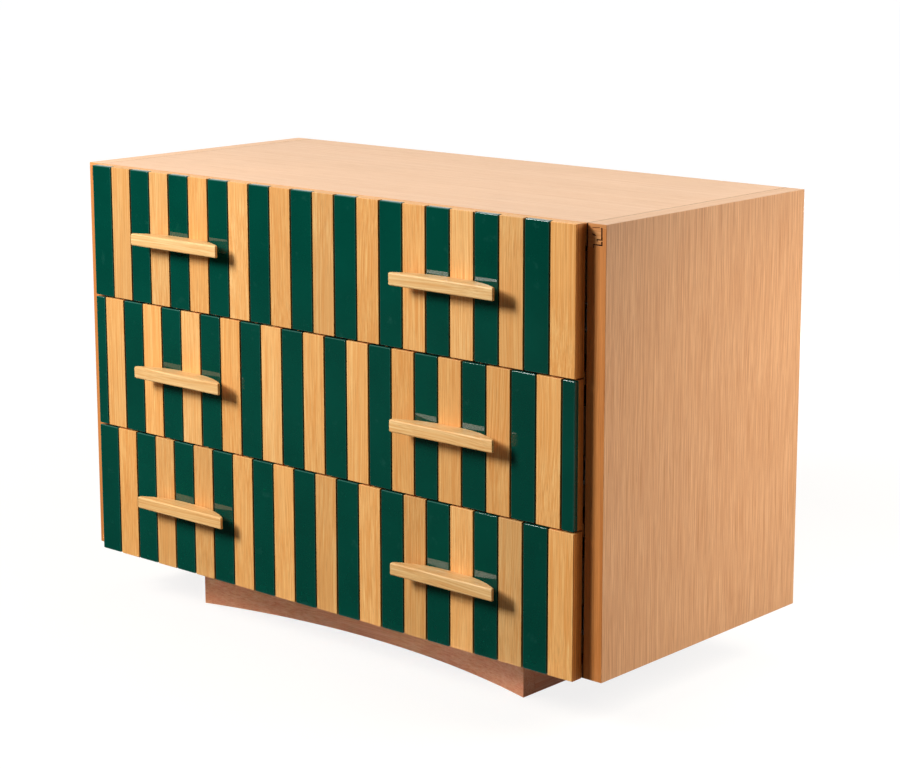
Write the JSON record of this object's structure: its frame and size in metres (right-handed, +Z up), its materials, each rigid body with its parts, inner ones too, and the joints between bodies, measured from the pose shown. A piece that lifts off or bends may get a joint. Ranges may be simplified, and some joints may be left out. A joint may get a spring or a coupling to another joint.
{
  "type": "dresser",
  "caption": "Low oak dresser with full-width drawers faced in upright oak and green lacquer slats, bowed bar handles and a recessed plinth curved inwards at the front.",
  "frame": {"origin": "bottom centre of the bounding box, on the floor under the plinth", "axes": "+X to the right seen from the front, +Y from the drawer fronts towards the back, +Z up"},
  "size_m": [1.2, 0.5986, 0.817],
  "materials": {
    "oak_veneer": "satin oak",
    "oak_plinth": "satin oak, in shade",
    "slatted_front": "satin oak slats by turns with glossy dark green lacquered slats",
    "oak_handle": "satin pale oak",
    "birch_box": "clear matt lacquer",
    "zinc_steel": "zinc plated"
  },
  "bodies": {
    "carcass": {"top_panel": "oak_veneer", "left_side_panel": "oak_veneer", "right_side_panel": "oak_veneer", "bottom_panel": "oak_veneer", "back_panel": "oak_veneer", "lower_front_rail": "oak_veneer", "upper_front_rail": "oak_veneer", "plinth_front": "oak_plinth", "plinth_back": "oak_plinth", "plinth_left_side": "oak_plinth", "plinth_right_side": "oak_plinth", "bottom_left_runner_cabinet_member": "zinc_steel", "bottom_right_runner_cabinet_member": "zinc_steel", "middle_left_runner_cabinet_member": "zinc_steel", "middle_right_runner_cabinet_member": "zinc_steel", "top_left_runner_cabinet_member": "zinc_steel", "top_right_runner_cabinet_member": "zinc_steel"},
    "bottom_runners": {"bottom_left_runner_middle_member": "zinc_steel", "bottom_right_runner_middle_member": "zinc_steel"},
    "middle_runners": {"middle_left_runner_middle_member": "zinc_steel", "middle_right_runner_middle_member": "zinc_steel"},
    "top_runners": {"top_left_runner_middle_member": "zinc_steel", "top_right_runner_middle_member": "zinc_steel"},
    "bottom_drawer": {"bottom_drawer_front": "slatted_front", "bottom_drawer_left_side": "birch_box", "bottom_drawer_right_side": "birch_box", "bottom_drawer_back": "birch_box", "bottom_drawer_bottom": "birch_box", "bottom_drawer_left_handle": "oak_handle", "bottom_drawer_right_handle": "oak_handle", "bottom_drawer_left_handle_screw": "zinc_steel", "bottom_drawer_right_handle_screw": "zinc_steel", "bottom_left_runner_drawer_member": "zinc_steel", "bottom_right_runner_drawer_member": "zinc_steel"},
    "middle_drawer": {"middle_drawer_front": "slatted_front", "middle_drawer_left_side": "birch_box", "middle_drawer_right_side": "birch_box", "middle_drawer_back": "birch_box", "middle_drawer_bottom": "birch_box", "middle_drawer_left_handle": "oak_handle", "middle_drawer_right_handle": "oak_handle", "middle_drawer_left_handle_screw": "zinc_steel", "middle_drawer_right_handle_screw": "zinc_steel", "middle_left_runner_drawer_member": "zinc_steel", "middle_right_runner_drawer_member": "zinc_steel"},
    "top_drawer": {"top_drawer_front": "slatted_front", "top_drawer_left_side": "birch_box", "top_drawer_right_side": "birch_box", "top_drawer_back": "birch_box", "top_drawer_bottom": "birch_box", "top_drawer_left_handle": "oak_handle", "top_drawer_right_handle": "oak_handle", "top_drawer_left_handle_screw": "zinc_steel", "top_drawer_right_handle_screw": "zinc_steel", "top_left_runner_drawer_member": "zinc_steel", "top_right_runner_drawer_member": "zinc_steel"}
  },
  "joints": [
    {"name": "bottom_drawer_slide", "type": "slide", "parent": "carcass", "child": "bottom_drawer", "axis": [0, -1, 0], "range_m": [0, 0.43]},
    {"name": "middle_drawer_slide", "type": "slide", "parent": "carcass", "child": "middle_drawer", "axis": [0, -1, 0], "range_m": [0, 0.43]},
    {"name": "top_drawer_slide", "type": "slide", "parent": "carcass", "child": "top_drawer", "axis": [0, -1, 0], "range_m": [0, 0.43]},
    {"name": "bottom_runner_slide", "type": "slide", "parent": "carcass", "child": "bottom_runners", "axis": [0, -1, 0], "range_m": [0, 0.215]},
    {"name": "middle_runner_slide", "type": "slide", "parent": "carcass", "child": "middle_runners", "axis": [0, -1, 0], "range_m": [0, 0.215]},
    {"name": "top_runner_slide", "type": "slide", "parent": "carcass", "child": "top_runners", "axis": [0, -1, 0], "range_m": [0, 0.215]}
  ],
  "couplings": [
    {"joint": "bottom_runner_slide", "follows": "bottom_drawer_slide", "ratio": 0.5},
    {"joint": "middle_runner_slide", "follows": "middle_drawer_slide", "ratio": 0.5},
    {"joint": "top_runner_slide", "follows": "top_drawer_slide", "ratio": 0.5}
  ]
}
